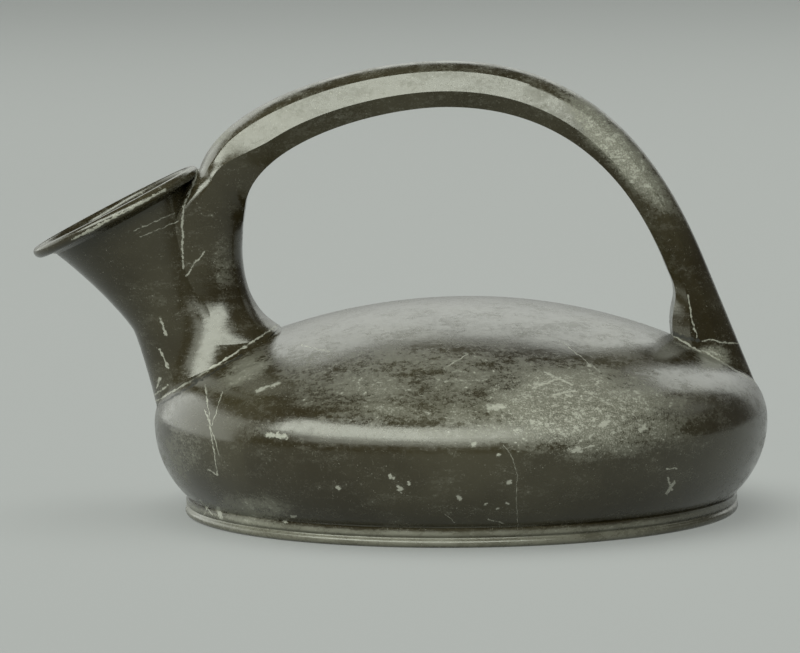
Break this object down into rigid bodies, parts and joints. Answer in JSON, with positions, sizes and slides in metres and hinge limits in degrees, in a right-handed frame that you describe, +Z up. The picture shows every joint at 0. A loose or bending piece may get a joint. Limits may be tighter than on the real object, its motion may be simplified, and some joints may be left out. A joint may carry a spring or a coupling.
{
  "type": "spouted jug",
  "caption": "Low round closed jug of black-gloss fired clay on a ring foot, with a leaning trumpet spout to pour from and one arched strap handle.",
  "frame": {"origin": "middle of the jug's outline from above, on the surface that it stands on", "axes": "+X from the spout towards the foot of the handle, +Y away from the side that the picture shows, +Z up"},
  "size_m": [0.139, 0.1164, 0.0854],
  "materials": {
    "spouted_jug": "worn black gloss"
  },
  "bodies": {
    "root": {"spouted_jug": "spouted_jug"}
  },
  "joints": []
}
